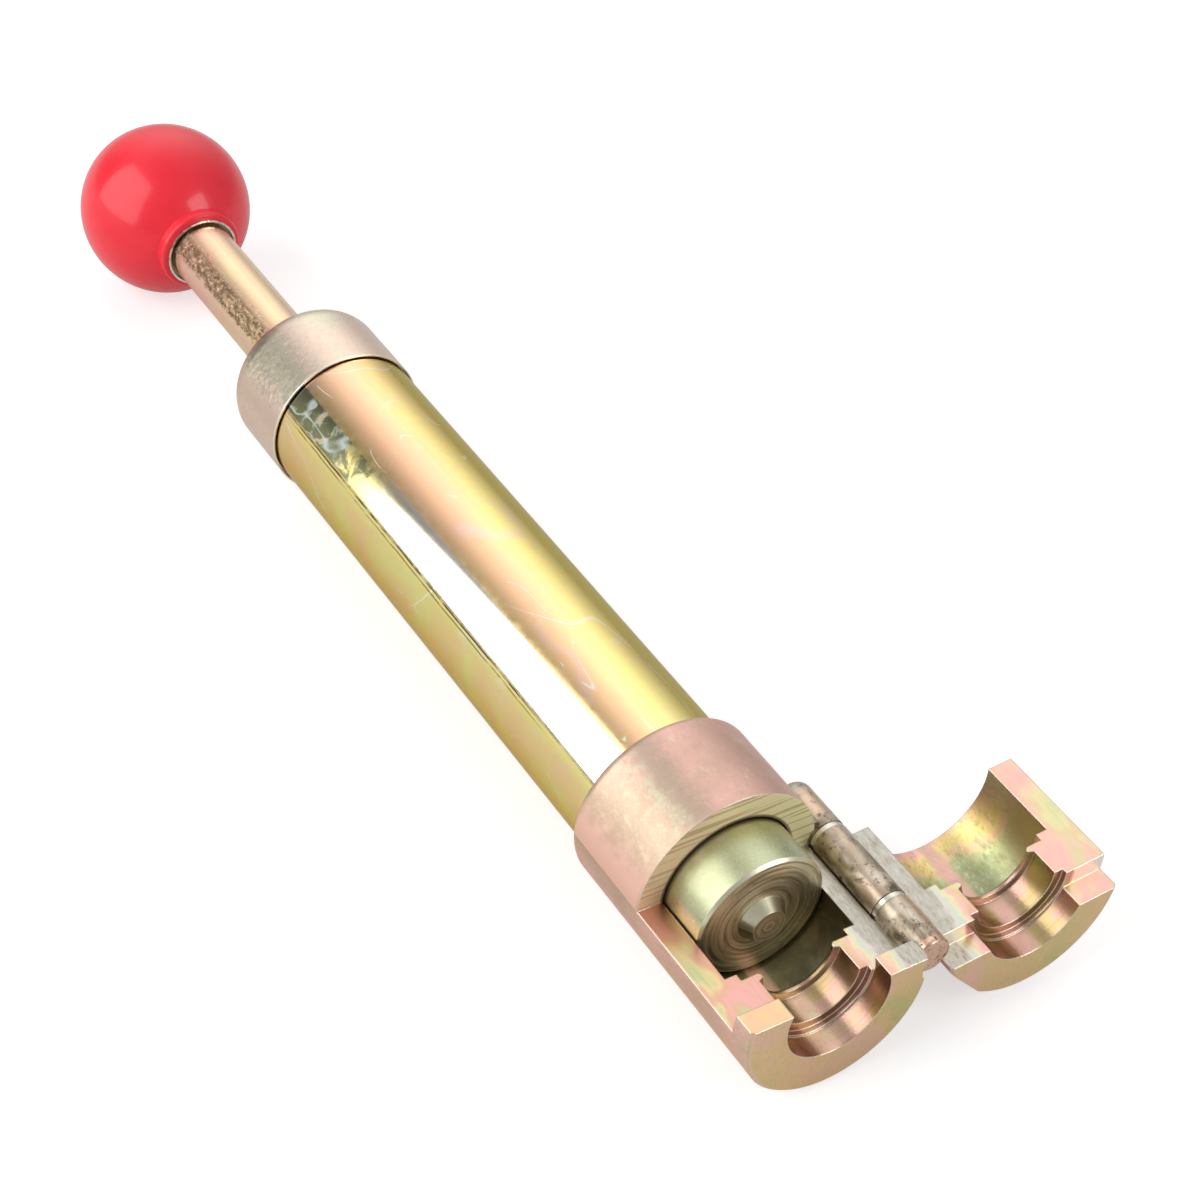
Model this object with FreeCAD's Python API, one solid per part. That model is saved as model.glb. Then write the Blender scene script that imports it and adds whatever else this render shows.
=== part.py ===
"""Hand tool that flares the end of a corrugated pipe.

A round barrel carries a split die at its front. The pipe lies in the stepped
bore of the die, the hinged half closes over it, and the hammer head on the
sliding rod flattens the pipe's last corrugations against the ledge of the die.

Millimetres. +X runs along the tool towards the mouth of the die, +Z is the
normal of the split face of the fixed half, and the hinge is on the +Y side.
The origin is on the tool's axis, in the plane of the die's front face.
"""
import FreeCAD, Part
import math
import os

from FreeCAD import Vector

os.makedirs("parts", exist_ok=True)

# Die: outside
body_d = 39.5            # fixed half, ring and hinged half
ring_len = 23.8          # closed ring behind the open part
open_len = 36.5          # length of the open part of the fixed half
body_round = 2.2         # rounding of the rear rim
rear_gap = 2.8           # saw gap between the ring and the hinged half
split_gap = 0.2          # gap between the split faces when closed
edge_break = 0.6         # chamfer round the front face

# Die: stepped bore, from the mouth inwards
seat_d = 22.4            # seat of the pipe's nut side, at the mouth
seat_len = 5.1
groove_d = 21.5          # groove for one corrugation
groove_w = 1.2
grip_d = 17.8            # grips the crests of the corrugated pipe
grip_len = 6.1
lip_d = 15.5             # lip that sits in a valley of the pipe
lip_len = 1.6
lip_round = 0.5
flange_d = 23.6          # recess that shapes the flared flange
flange_depth = 1.6
chamber_d = 28.6         # hammer chamber

# Die: interlock across the split
block_len = 4.95         # raised block at the mouth of the fixed half
block_h = 3.95
block_gap = 0.15         # clearance round the block in the hinged half

# Hinge
hinge_out = 2.55         # hinge axis outside the die's round outside
hinge_z = 0.5            # hinge axis above the split face
knuckle_d = 7.9
front_end_round = 0.7    # rounded closed end of the front knuckle
rear_end_round = 2.6     # rounded closed end of the rear knuckle
pin_d = 4.0
knuckle_front = -2.2     # front end of the front knuckle
front_knuckle_len = 12.6
moving_knuckle_len = 18.7
rear_knuckle_len = 13.2
washer_t = 1.0
washer_d = 7.6
hinge_play = 0.12        # end play at each face of a washer
hinge_fit = 0.05         # radial running fit of the pin
knuckle_gap = 0.25       # radial clearance of a knuckle in a free groove
open_angle = 174.7       # the hinged half as it lies open
clam_flat_off = 18.6     # relief flat on the hinged half, from the tool's axis
clam_flat_angle = 37.0
bead_r = 1.5             # brazing bead along a knuckle
bead_end = 0.8           # the bead stops short of the knuckle's ends

# Barrel and cap
tube_od = 34.0
tube_wall = 2.5
tube_len = 159.1
tube_thread_cut = 1.1    # thread depth that the barrel is turned down by under the cap
socket_depth = 14.0      # barrel inside the rear of the die body
cap_wall = 0.7           # the cap stands this far outside the barrel
cap_fit = 0.05           # radial fit of the cap on the turned-down barrel
cap_skirt = 16.4         # cap over the barrel
cap_end = 7.0            # thickness of the cap behind the barrel
cap_round = 6.3          # rounded shoulder of the cap
cap_rim_gap = 0.35       # open joint round the barrel at the cap's rim
cap_rim_len = 1.6        # depth of that joint
cap_hole_gap = 0.35      # radial gap round the rod in the cap's outer hole
cap_lip = 2.0            # cap behind the bush
bush_d = 20.0
bush_gap = 0.1           # radial gap of the bush's flange inside the barrel
bush_flange_t = 6.0

# Plunger
rod_d = 15.0
rod_fit = 0.06           # radial running fit of the rod in the bush
head_gap = 0.35          # radial gap of the hammer head in the chamber
head_len = 24.0
head_back = 9.4          # face of the head behind the flange ledge, at rest
head_edge = 0.6
nose_base_d = 10.4
nose_tip_d = 7.2
nose_len = 2.6
spigot_d = 10.0
spigot_len = 16.0
lock_pin_d = 4.0
lock_pin_back = 8.0      # from the rear face of the head
lock_pin_sunk = 0.9      # below the head's outside at each end
buffer_t = 4.0
buffer_d = 24.0
buffer_fit = 0.05

# Knob
knob_d = 40.5
knob_centre = -283.3
neck_d = 20.0            # short neck between the ball and the knob's mouth
neck_out = 20.2          # mouth from the ball's centre
neck_round = 0.8
insert_d = 17.4
insert_mouth_d = 16.2
insert_mouth_len = 0.9
insert_len = 25.0
insert_proud = 0.6       # the insert's end stands out of the knob's mouth
stud_d = 12.0
stud_len = 20.0
shoulder_edge = 0.5

# Places along the axis
x_groove = -seat_len
x_grip = x_groove - groove_w
x_lip = x_grip - grip_len
x_flange = x_lip - lip_len
x_chamber = x_flange - flange_depth
x_ring = -open_len
x_rear = x_ring - ring_len
x_clam = x_ring + rear_gap
x_tube_front = x_rear + socket_depth
x_tube_rear = x_tube_front - tube_len
x_face = x_chamber - head_back
x_head_rear = x_face - head_len
x_cap_rim = x_tube_rear + cap_skirt
x_cap_end = x_tube_rear - cap_end
x_bush_rear = x_cap_end + cap_lip
x_bush_front = x_tube_rear + bush_flange_t
x_mouth = knob_centre + neck_out
x_insert = x_mouth + insert_proud
x_shoulder = x_insert - insert_mouth_len
x_cap_joint = x_cap_rim - cap_rim_len

# Sizes that follow from others
hinge_y = body_d / 2 + hinge_out
head_d = chamber_d - 2 * head_gap
cap_d = tube_od + 2 * cap_wall
thread_d = tube_od - 2 * tube_thread_cut
tube_id = tube_od - 2 * tube_wall

# Places along the hinge
front_knuckle = (knuckle_front - front_knuckle_len, knuckle_front)
front_washer = (front_knuckle[0] - hinge_play - washer_t, front_knuckle[0] - hinge_play)
moving_front = front_washer[0] - hinge_play
moving_knuckle = (moving_front - moving_knuckle_len, moving_front)
rear_washer = (moving_knuckle[0] - hinge_play - washer_t, moving_knuckle[0] - hinge_play)
rear_front = rear_washer[0] - hinge_play
rear_knuckle = (rear_front - rear_knuckle_len, rear_front)

AXIS = Vector(1, 0, 0)
ORIGIN = Vector(0, 0, 0)
FAR = 4 * body_d         # larger than any section of the die


def revolve(points):
    """Solid of revolution about the tool's axis from (x, radius) points."""
    wire = Part.makePolygon([Vector(x, 0, r) for x, r in points + points[:1]])
    return Part.Face(wire).revolve(ORIGIN, AXIS, 360)


def rod(x0, x1, d, y=0.0, z=0.0):
    """Cylinder along X between two places."""
    return Part.makeCylinder(d / 2, x1 - x0, Vector(x0, y, z), AXIS)


def ring(x0, x1, outer_d, inner_d, y=0.0, z=0.0):
    return rod(x0, x1, outer_d, y, z).cut(rod(x0, x1, inner_d, y, z))


def block(x0, x1, y0, y1, z0, z1):
    return Part.makeBox(x1 - x0, y1 - y0, z1 - z0, Vector(x0, y0, z0))


def edges_at(shape, x, d):
    """Round edges of a diameter in the plane x."""
    found = []
    for edge in shape.Edges:
        curve = edge.Curve
        if not isinstance(curve, Part.Circle):
            continue
        if abs(curve.Center.x - x) < 1e-6 and abs(curve.Radius - d / 2) < 1e-6:
            found.append(edge)
    return found


def opened(shape):
    """Turn a closed piece of the hinged half to its open place."""
    turned = shape.copy()
    turned.rotate(Vector(0, hinge_y, hinge_z), AXIS, -open_angle)
    return turned


def export(shape, node):
    shape.exportStep("parts/%s.step" % node)


def bore():
    """The stepped bore of the closed die, with the hammer chamber behind it."""
    stepped = rod(x_groove, FAR, seat_d)
    stepped = stepped.fuse(rod(x_grip, x_groove, groove_d))
    stepped = stepped.fuse(rod(x_lip, x_grip, grip_d))
    stepped = stepped.fuse(rod(x_chamber, x_flange, flange_d))
    stepped = stepped.fuse(rod(x_tube_front, x_chamber, chamber_d))
    grip_r = grip_d / 2
    lip_r = lip_d / 2
    lip = revolve([
        (x_flange, 0), (x_lip, 0), (x_lip, grip_r),
        (x_lip - lip_round, lip_r), (x_flange + lip_round, lip_r), (x_flange, lip_r + lip_round),
    ])
    return stepped.fuse(lip).removeSplitter()


def die_outline():
    """Outside of the closed die, from the rear rim to the mouth."""
    outline = rod(x_rear, 0, body_d)
    outline = outline.makeFillet(body_round, edges_at(outline, x_rear, body_d))
    return outline.makeChamfer(edge_break, edges_at(outline, 0, body_d))


def knuckle_room(span, gap):
    """Room for one knuckle, with a radial gap and some air past its ends."""
    air = hinge_play if gap else 0.0
    return rod(span[0] - air, span[1] + air, knuckle_d + 2 * gap, hinge_y, hinge_z)


def free_rooms():
    """Room for the washers and for the front end of the hinge."""
    rooms = knuckle_room((rear_knuckle[1], moving_knuckle[0]), knuckle_gap)
    rooms = rooms.fuse(knuckle_room((moving_knuckle[1], front_knuckle[0]), knuckle_gap))
    return rooms.fuse(knuckle_room((front_knuckle[1], body_d), 0))


def die_body():
    """Ring with the barrel's socket, and the fixed lower half of the die."""
    above = block(x_ring, FAR, -FAR, FAR, 0, FAR)
    interlock = block(-block_len, FAR, -FAR, FAR, 0, block_h)
    shape = die_outline().cut(above.cut(interlock)).cut(bore())
    shape = shape.cut(rod(x_rear, x_tube_front, tube_od))
    shape = shape.cut(knuckle_room(rear_knuckle, 0)).cut(knuckle_room(front_knuckle, 0))
    return shape.cut(knuckle_room(moving_knuckle, knuckle_gap)).cut(free_rooms())


def die_clam():
    """Hinged half, closed: it covers the pipe and locks over the raised block."""
    below = block(-FAR, FAR, -FAR, FAR, -FAR, split_gap)
    recess = block(-block_len - block_gap, FAR, -FAR, FAR, 0, block_h + block_gap)
    behind = block(-FAR, x_clam, -FAR, FAR, -FAR, FAR)
    shape = die_outline().cut(below).cut(recess).cut(behind).cut(bore())
    relief = block(-FAR, FAR, clam_flat_off, FAR, -FAR, FAR)
    relief.rotate(ORIGIN, AXIS, clam_flat_angle)
    shape = shape.cut(relief)
    shape = shape.cut(free_rooms()).cut(knuckle_room(front_knuckle, knuckle_gap))
    return shape.cut(knuckle_room(moving_knuckle, 0))


def knuckle(span, front_round=0.0, rear_round=0.0):
    """Hinge barrel on the hinge axis, bored for the pin; a rounded end is closed."""
    shape = rod(span[0], span[1], knuckle_d, hinge_y, hinge_z)
    bore_rear, bore_front = span
    fit = hinge_fit
    if front_round:
        shape = shape.makeFillet(front_round, edges_at(shape, span[1], knuckle_d))
        bore_front = span[1] - knuckle_d / 2
        fit = 0.0
    if rear_round:
        shape = shape.makeFillet(rear_round, edges_at(shape, span[0], knuckle_d))
        bore_rear = span[0] + knuckle_d / 2
        fit = 0.0
    return shape.cut(rod(bore_rear, bore_front, pin_d + 2 * fit, hinge_y, hinge_z))


def hinge_pin():
    x0 = rear_knuckle[0] + knuckle_d / 2
    x1 = front_knuckle[1] - knuckle_d / 2
    return rod(x0, x1, pin_d, hinge_y, hinge_z)


def washer(span):
    return ring(span[0], span[1], washer_d, pin_d + 2 * hinge_fit, hinge_y, hinge_z)


def crotch(side):
    """Where the die's outline meets the knuckle, above or below the split."""
    reach = math.hypot(hinge_y, hinge_z)
    body_r = body_d / 2
    along = (reach ** 2 + body_r ** 2 - (knuckle_d / 2) ** 2) / (2 * reach)
    angle = math.atan2(hinge_z, hinge_y) + side * math.acos(along / body_r)
    return body_r * math.cos(angle), body_r * math.sin(angle)


def bead(span, side):
    """Brazing bead in the corner between the die and one knuckle."""
    y, z = crotch(side)
    shape = rod(span[0] + bead_end, span[1] - bead_end, 2 * bead_r, y, z)
    shape = shape.cut(rod(x_rear, body_d, body_d))
    return shape.cut(rod(span[0], span[1], knuckle_d, hinge_y, hinge_z))


def clam_bead():
    """The bead of the hinged half fills down to its relief flat."""
    y, z = crotch(1)
    span = moving_knuckle
    shape = rod(span[0] + bead_end, span[1] - bead_end, 2 * bead_r, y, z)
    shape = shape.cut(die_clam())
    return shape.cut(rod(span[0], span[1], knuckle_d, hinge_y, hinge_z))


def barrel_tube():
    """Barrel, turned down at its rear end where the cap screws on."""
    shape = ring(x_tube_rear, x_tube_front, tube_od, tube_id)
    return shape.cut(ring(x_tube_rear, x_cap_joint, tube_od + cap_d, thread_d))


def end_cap():
    """Turned cap: a skirt over the barrel and a rounded end bored for the bush."""
    shape = rod(x_cap_end, x_cap_rim, cap_d)
    shape = shape.makeFillet(cap_round, edges_at(shape, x_cap_end, cap_d))
    shape = shape.cut(rod(x_tube_rear, x_cap_joint, thread_d + 2 * cap_fit))
    shape = shape.cut(rod(x_cap_joint, x_cap_rim, tube_od + 2 * cap_rim_gap))
    shape = shape.cut(rod(x_cap_end, x_tube_rear, rod_d + 2 * cap_hole_gap))
    return shape.cut(rod(x_bush_rear, x_tube_rear, bush_d))


def guide_bush():
    """Flanged bush that carries the rod, put in from inside the barrel."""
    shape = rod(x_bush_rear, x_bush_front, bush_d)
    shape = shape.fuse(rod(x_tube_rear, x_bush_front, tube_id - 2 * bush_gap))
    return shape.cut(rod(x_bush_rear, x_bush_front, rod_d + 2 * rod_fit))


def hammer_head():
    """Head with a turned nose that enters the pipe; it screws onto the rod."""
    head_r = head_d / 2
    shape = revolve([
        (x_head_rear, 0), (x_head_rear, head_r - head_edge), (x_head_rear + head_edge, head_r),
        (x_face - head_edge, head_r), (x_face, head_r - head_edge), (x_face, nose_base_d / 2),
        (x_face + nose_len, nose_tip_d / 2), (x_face + nose_len, 0),
    ])
    return shape.cut(rod(x_head_rear, x_head_rear + spigot_len, spigot_d)).cut(lock_pin())


def lock_pin():
    """Pin across the head that keeps it on the rod."""
    length = head_d - 2 * lock_pin_sunk
    start = Vector(x_head_rear + lock_pin_back, 0, -length / 2)
    return Part.makeCylinder(lock_pin_d / 2, length, start, Vector(0, 0, 1))


def plunger_rod():
    """Rod with a spigot for the head and a stud for the knob."""
    shape = rod(x_shoulder, x_head_rear, rod_d)
    shape = shape.makeChamfer(shoulder_edge, edges_at(shape, x_shoulder, rod_d))
    shape = shape.fuse(rod(x_head_rear, x_head_rear + spigot_len, spigot_d))
    shape = shape.fuse(rod(x_shoulder - stud_len, x_shoulder, stud_d))
    return shape.cut(lock_pin())


def buffer_ring():
    """Rubber ring behind the head, which meets the bush when the rod is drawn back."""
    return ring(x_head_rear - buffer_t, x_head_rear, buffer_d, rod_d + 2 * buffer_fit)


def knob_insert():
    """Threaded insert moulded into the knob."""
    shape = rod(x_insert - insert_len, x_insert, insert_d)
    shape = shape.cut(rod(x_shoulder, x_insert, insert_mouth_d))
    return shape.cut(rod(x_shoulder - stud_len, x_shoulder, stud_d))


def ball_knob():
    """Ball with a short rounded neck, bored for its insert."""
    ball = Part.makeSphere(knob_d / 2, Vector(knob_centre, 0, 0))
    neck = rod(knob_centre, x_mouth, neck_d)
    neck = neck.makeFillet(neck_round, edges_at(neck, x_mouth, neck_d))
    ball = ball.fuse(neck).removeSplitter()
    return ball.cut(rod(x_insert - insert_len, x_mouth + neck_out, insert_d))


def write_parts():
    export(die_body(), "die_body")
    export(opened(die_clam()), "die_clam")
    export(knuckle(rear_knuckle, rear_round=rear_end_round), "rear_knuckle")
    export(knuckle(front_knuckle, front_round=front_end_round), "front_knuckle")
    export(opened(knuckle(moving_knuckle)), "clam_knuckle")
    export(hinge_pin(), "hinge_pin")
    export(washer(rear_washer), "rear_hinge_washer")
    export(washer(front_washer), "front_hinge_washer")
    export(Part.makeCompound([bead(rear_knuckle, 1), bead(rear_knuckle, -1)]), "rear_knuckle_brazing")
    export(bead(front_knuckle, -1), "front_knuckle_brazing")
    export(opened(clam_bead()), "clam_knuckle_brazing")
    export(barrel_tube(), "barrel_tube")
    export(end_cap(), "end_cap")
    export(guide_bush(), "guide_bush")
    export(hammer_head(), "hammer_head")
    export(lock_pin(), "head_lock_pin")
    export(buffer_ring(), "buffer_ring")
    export(plunger_rod(), "plunger_rod")
    export(knob_insert(), "knob_insert")
    export(ball_knob(), "ball_knob")


write_parts()
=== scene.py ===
import math

import bpy
from mathutils import Matrix, Vector


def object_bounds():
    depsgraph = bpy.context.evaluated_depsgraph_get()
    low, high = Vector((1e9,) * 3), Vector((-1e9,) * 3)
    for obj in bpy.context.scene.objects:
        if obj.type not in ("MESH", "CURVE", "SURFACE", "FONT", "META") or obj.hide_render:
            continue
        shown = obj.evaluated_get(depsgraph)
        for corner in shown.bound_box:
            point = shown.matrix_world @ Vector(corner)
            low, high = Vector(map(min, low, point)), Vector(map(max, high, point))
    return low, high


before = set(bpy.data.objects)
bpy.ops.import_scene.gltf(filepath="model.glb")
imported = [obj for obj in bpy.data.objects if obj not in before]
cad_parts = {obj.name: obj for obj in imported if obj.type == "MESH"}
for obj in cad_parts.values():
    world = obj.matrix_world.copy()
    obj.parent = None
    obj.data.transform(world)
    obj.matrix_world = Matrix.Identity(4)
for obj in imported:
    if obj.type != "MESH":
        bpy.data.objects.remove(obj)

CAD_LOW, CAD_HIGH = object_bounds()

# Camera, at the photograph's viewing angle: place in metres, angles in degrees
CAMERA_PLACE = Vector((0.22828, -0.22551, 0.36307))
CAMERA_AZIMUTH = 54.358
CAMERA_ELEVATION = 40.803
CAMERA_ROLL = 6.270
FOCAL_PIXELS = 2691.5
PHOTO_PIXELS = 1200
SENSOR_MM = 36.0

# The hinged half is dressed in the frame of the closed die
HINGE = (0.0, 0.0223, 0.0005)
OPEN_ANGLE = math.radians(174.7)

# Places on the tool in millimetres: x along its axis, radius from it
FRONT_FACE = 0.0
CHAMBER_FRONT = -15.6
RING_FACE = -36.5
HEAD_FACE = -25.0
CAP_RIM = -189.0
CAP_END = -212.4
BORE_REACH = 12.4            # the stepped bore lies inside this radius
CHAMBER_RADIUS = 14.3
OUTSIDE_RADIUS = 19.75
NOSE_RADIUS = 5.2
INSERT_MOUTH = 8.1

FLAT = (0.93, 0.985)         # share of a normal along an axis that makes a face flat
NOISE = (0.3, 0.7)           # most values of a noise lie between these

# Studio
FLOOR_CLEARANCE = 0.0002
FLOOR_SIZE = 8.0
FLOOR_COLOR = (0.62, 0.62, 0.62, 1.0)
FLOOR_GLOW = 0.58
FLOOR_IN_METAL = 0.2         # share of that glow that metal shows
WALL = 0.40                  # pale backdrop all round
GLOW = 1.15                  # broad soft light in the backdrop, behind and above
GLOW_FROM = (-0.61, 0.35, 0.715)
GLOW_POWER = 6.0
SHADE = 0.34                 # dim end of the studio, past the side light
SHADE_FROM = (-0.69, -0.64, 0.33)
SHADE_POWER = 8.0
FILL = 0.85                  # share of the backdrop that lights matt surfaces
WHITE = (1.0, 1.0, 1.0, 1.0)


class Shader:
    """A node material with short calls for its nodes and links."""

    def __init__(self, name, closed=False):
        self.material = bpy.data.materials.new(name)
        self.material.use_nodes = True
        self.tree = self.material.node_tree
        self.tree.nodes.clear()
        out = self.add("ShaderNodeOutputMaterial")
        self.bsdf = self.add("ShaderNodeBsdfPrincipled")
        self.link(self.bsdf.outputs["BSDF"], out.inputs["Surface"])
        coords = self.add("ShaderNodeTexCoord")
        self.place = coords.outputs["Object"]
        self.facing = coords.outputs["Normal"]
        if closed:
            self.place = self.turned(self.place, True)
            self.facing = self.turned(self.facing, False)
        self.color = None
        self.rough = None
        self.dull = None        # where, and how far, the metal gives way to a matt surface

    def turned(self, source, moved):
        """Swing a point or direction of the open half back to its closed place."""
        node = self.add("ShaderNodeMapping")
        node.inputs["Rotation"].default_value = (OPEN_ANGLE, 0, 0)
        if moved:
            hinge = Vector(HINGE)
            shift = hinge - Matrix.Rotation(OPEN_ANGLE, 3, "X") @ hinge
            node.inputs["Location"].default_value = shift
        self.link(source, node.inputs["Vector"])
        return node.outputs["Vector"]

    def add(self, kind, **values):
        node = self.tree.nodes.new(kind)
        for key, value in values.items():
            setattr(node, key, value)
        return node

    def link(self, source, target):
        self.tree.links.new(source, target)

    def set(self, **values):
        for key, value in values.items():
            self.bsdf.inputs[key.replace("_", " ")].default_value = value

    def feed(self, source, socket):
        if isinstance(source, (int, float)):
            socket.default_value = source
        elif isinstance(source, tuple):
            socket.default_value = source + (1.0,)
        else:
            self.link(source, socket)

    def scaled(self, scale, turn=(0, 0, 0)):
        """Object coordinates, turned and scaled."""
        node = self.add("ShaderNodeMapping")
        node.inputs["Scale"].default_value = scale
        node.inputs["Rotation"].default_value = turn
        self.link(self.place, node.inputs["Vector"])
        return node.outputs["Vector"]

    def noise(self, scale, detail=4.0, rough=0.55, stretch=(1, 1, 1), distort=0.0,
              turn=(0, 0, 0)):
        node = self.add("ShaderNodeTexNoise")
        node.inputs["Scale"].default_value = scale
        node.inputs["Detail"].default_value = detail
        node.inputs["Roughness"].default_value = rough
        node.inputs["Distortion"].default_value = distort
        self.link(self.scaled(stretch, turn), node.inputs["Vector"])
        return node.outputs["Fac"]

    def ramp(self, fac, stops):
        node = self.add("ShaderNodeValToRGB")
        points = node.color_ramp.elements
        while len(points) < len(stops):
            points.new(1.0)
        for point, (place, color) in zip(points, stops):
            point.position = place
            point.color = tuple(color) + (1.0,)
        self.link(fac, node.inputs["Fac"])
        return node.outputs["Color"]

    def curve(self, fac, low, high, out_low=0.0, out_high=1.0, smooth=False):
        """Map a range of a value to another range."""
        node = self.add("ShaderNodeMapRange")
        if smooth:
            node.interpolation_type = "SMOOTHSTEP"
        names = ("From Min", "From Max", "To Min", "To Max")
        for key, value in zip(names, (low, high, out_low, out_high)):
            node.inputs[key].default_value = value
        self.link(fac, node.inputs["Value"])
        return node.outputs["Result"]

    def band(self, value, low, high, soft):
        """1 between two values, with soft ends."""
        rise = self.curve(value, low - soft, low + soft, smooth=True)
        fall = self.curve(value, high - soft, high + soft, 1.0, 0.0, smooth=True)
        return self.times(rise, fall)

    def plus(self, first, second):
        return self.math("ADD", first, second)

    def times(self, first, second):
        return self.math("MULTIPLY", first, second)

    def magnitude(self, value):
        return self.math("ABSOLUTE", value)

    def swayed(self, value, noise, reach):
        """A value that a noise carries up to a reach either way."""
        return self.plus(value, self.curve(noise, *NOISE, -reach, reach))

    def all(self, *masks):
        result = masks[0]
        for mask in masks[1:]:
            result = self.times(result, mask)
        return result

    def mix(self, fac, first, second):
        node = self.add("ShaderNodeMix", data_type="RGBA")
        self.feed(fac, node.inputs["Factor"])
        self.feed(first, node.inputs["A"])
        self.feed(second, node.inputs["B"])
        return node.outputs["Result"]

    def math(self, operation, first, second=None):
        node = self.add("ShaderNodeMath", operation=operation)
        for source, socket in zip((first, second), node.inputs):
            if source is not None:
                self.feed(source, socket)
        return node.outputs["Value"]

    def bump(self, height, strength, distance):
        node = self.add("ShaderNodeBump")
        node.inputs["Strength"].default_value = strength
        node.inputs["Distance"].default_value = distance
        self.link(height, node.inputs["Height"])
        self.chain(node.outputs["Normal"], node.inputs["Normal"])

    def chain(self, normal, before=None):
        """Put a normal in front of the shader, after those already there."""
        last = self.bsdf.inputs["Normal"]
        if before and last.is_linked:
            self.link(last.links[0].from_socket, before)
        self.link(normal, last)

    def axes(self, source=None):
        """Object coordinates in millimetres, or the parts of another vector."""
        node = self.add("ShaderNodeSeparateXYZ")
        self.link(source or self.scaled((1000, 1000, 1000)), node.inputs["Vector"])
        return node.outputs["X"], node.outputs["Y"], node.outputs["Z"]

    def around(self):
        """Distance from the tool's axis in millimetres and angle round it in degrees."""
        _, y, z = self.axes()
        square = self.plus(self.times(y, y), self.times(z, z))
        angle = self.times(self.math("ARCTAN2", z, y), 180 / math.pi)
        return self.math("SQRT", square), angle

    def arcs(self, radius, across, along):
        """Noise drawn out round the tool's axis, as a turning tool leaves it."""
        _, y, z = self.axes()
        joined = self.add("ShaderNodeCombineXYZ")
        for value, scale, socket in zip((radius, y, z), (across, along, along), joined.inputs):
            self.feed(self.times(value, scale), socket)
        node = self.add("ShaderNodeTexNoise")
        node.inputs["Scale"].default_value = 1.0
        node.inputs["Detail"].default_value = 3.0
        node.inputs["Roughness"].default_value = 0.6
        self.link(joined.outputs["Vector"], node.inputs["Vector"])
        return node.outputs["Fac"]

    def soft_edges(self, radius):
        """Broken edges that catch the light; returns a mask of them."""
        node = self.add("ShaderNodeBevel", samples=4)
        node.inputs["Radius"].default_value = radius
        self.chain(node.outputs["Normal"])
        flat = self.add("ShaderNodeNewGeometry").outputs["Normal"]
        dot = self.add("ShaderNodeVectorMath", operation="DOT_PRODUCT")
        self.link(node.outputs["Normal"], dot.inputs[0])
        self.link(flat, dot.inputs[1])
        return self.curve(dot.outputs["Value"], 0.78, 0.985, 1.0, 0.0)

    def cover(self, mask, color, rough=None, share=None):
        """Lay another colour, and roughness, where a mask is 1, or a share of them."""
        if share is not None:
            mask = self.times(mask, share)
        self.color = self.mix(mask, self.color, color)
        if rough is not None:
            part = self.math("SUBTRACT", rough, self.rough)
            self.rough = self.plus(self.rough, self.times(mask, part))

    def done(self, metallic=1.0):
        if self.dull:
            metallic = self.math("SUBTRACT", metallic, self.dull)
        self.feed(self.color, self.bsdf.inputs["Base Color"])
        self.feed(self.rough, self.bsdf.inputs["Roughness"])
        self.feed(metallic, self.bsdf.inputs["Metallic"])
        return self.material

    def hairlines(self, scale, width, distort, stretch, keep):
        """Thin curved scratches: level lines of a smooth noise, broken up by another."""
        field = self.noise(scale, detail=1.5, rough=0.4, stretch=stretch, distort=distort)
        level = self.magnitude(self.math("SUBTRACT", field, 0.5))
        line = self.curve(level, 0.0, width, 1.0, 0.0)
        part = self.curve(self.noise(scale * 2.3, detail=2.0), keep, keep + 0.06)
        return self.times(line, part)


# Linear colours that several finishes share
DUST = (0.62, 0.58, 0.52)
SOOT = (0.055, 0.045, 0.03)
# pale colour of the painted highlights on edges and rims
PAINTED_HIGHLIGHT = (0.96, 0.90, 0.78)

SPECKLED = 0.3               # from this grain up, the plating shows fine specks


def plated(name, stops, rough, patch, grain, stretch=(0.6, 1, 1), closed=False, edge=None):
    """Chromated zinc plating: drifting tints, dull grain and fine specks."""
    shader = Shader(name, closed)
    shader.edge = shader.soft_edges(edge) if edge else None
    drift = shader.noise(patch, detail=3.0, rough=0.5, stretch=stretch, distort=0.6)
    shader.color = shader.ramp(shader.curve(drift, 0.34, 0.66), stops)
    dull = shader.noise(420.0, detail=5.0, rough=0.65)
    shader.color = shader.mix(shader.curve(dull, 0.42, 0.78, 0.0, 0.28), shader.color, DUST)
    shader.rough = shader.curve(dull, *NOISE, rough - 0.04, rough + 0.06)
    if grain >= SPECKLED:
        fine = shader.noise(1500.0, detail=4.0, rough=0.8)
        shader.cover(shader.curve(fine, 0.55, 0.72, 0.0, 0.5), (0.40, 0.32, 0.23))
        shader.cover(shader.curve(fine, 0.42, 0.28, 0.0, 0.5), (0.97, 0.86, 0.70))
    shader.bump(shader.noise(1700.0, detail=3.0), grain, 0.00004)
    return shader


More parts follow.
